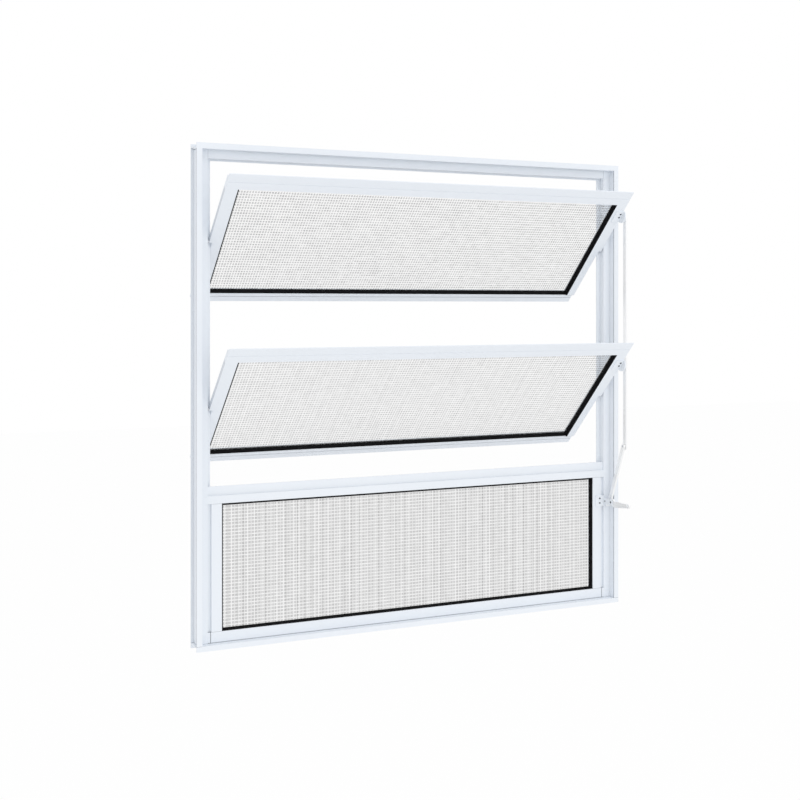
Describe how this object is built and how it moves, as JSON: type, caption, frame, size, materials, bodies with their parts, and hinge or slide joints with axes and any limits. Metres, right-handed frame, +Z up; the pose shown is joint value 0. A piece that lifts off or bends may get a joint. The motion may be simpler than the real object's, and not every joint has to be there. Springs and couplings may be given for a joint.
{
  "type": "pivot window",
  "caption": "Square white aluminium window with horizontal pivot sashes of patterned glass over a fixed light, worked by a side lever and push rod.",
  "frame": {"origin": "middle of the sill's lower edge, on the outside face of the frame", "axes": "+X along the sill to the lever's side as seen from the room, +Y from the room to the outside, +Z up"},
  "size_m": [0.6, 0.1556, 0.6],
  "materials": {
    "white_aluminium": "white powder coat, satin",
    "glass": "fine square pattern, translucent",
    "gasket": "matt black",
    "pivots": "zinc plated"
  },
  "bodies": {
    "frame": {"left_jamb": "white_aluminium", "right_jamb": "white_aluminium", "head_rail": "white_aluminium", "sill_rail": "white_aluminium", "transom": "white_aluminium", "light_left_stile": "white_aluminium", "light_right_stile": "white_aluminium", "light_bottom_rail": "white_aluminium", "light_glass": "glass", "light_gasket": "gasket", "lever_bracket": "white_aluminium"},
    "upper_sash": {"upper_top_rail": "white_aluminium", "upper_bottom_rail": "white_aluminium", "upper_left_stile": "white_aluminium", "upper_right_stile": "white_aluminium", "upper_glass": "glass", "upper_gasket": "gasket", "upper_pivots": "pivots", "upper_rod_bracket": "white_aluminium"},
    "lower_sash": {"lower_top_rail": "white_aluminium", "lower_bottom_rail": "white_aluminium", "lower_left_stile": "white_aluminium", "lower_right_stile": "white_aluminium", "lower_glass": "glass", "lower_gasket": "gasket", "lower_pivots": "pivots", "lower_rod_bracket": "white_aluminium"},
    "rod": {"push_rod": "white_aluminium"},
    "link": {"link_bar": "white_aluminium"},
    "lever": {"lever_handle": "white_aluminium"}
  },
  "joints": [
    {"name": "upper_sash_pivot", "type": "hinge", "parent": "frame", "child": "upper_sash", "pos_m": [0, -0.00905, 0.4846], "axis": [1, 0, 0], "range_deg": [-40.9, 0]},
    {"name": "lower_sash_pivot", "type": "hinge", "parent": "frame", "child": "lower_sash", "pos_m": [0, -0.00905, 0.2848], "axis": [1, 0, 0], "range_deg": [-40.9, 0]},
    {"name": "rod_pivot", "type": "hinge", "parent": "upper_sash", "child": "rod", "pos_m": [0, -0.05415, 0.52318], "axis": [1, 0, 0], "range_deg": [0, 40.9]},
    {"name": "link_pivot", "type": "hinge", "parent": "rod", "child": "link", "pos_m": [0, -0.05415, 0.21748], "axis": [1, 0, 0], "range_deg": [-26.9, 0]},
    {"name": "lever_pivot", "type": "hinge", "parent": "frame", "child": "lever", "pos_m": [0, -0.033, 0.1394], "axis": [1, 0, 0], "range_deg": [0, 75.1]}
  ],
  "couplings": [
    {"joint": "lower_sash_pivot", "follows": "upper_sash_pivot", "ratio": 1},
    {"joint": "rod_pivot", "follows": "upper_sash_pivot", "ratio": -1},
    {"joint": "link_pivot", "follows": "upper_sash_pivot", "ratio": 0.6575},
    {"joint": "lever_pivot", "follows": "upper_sash_pivot", "ratio": -1.8337}
  ]
}
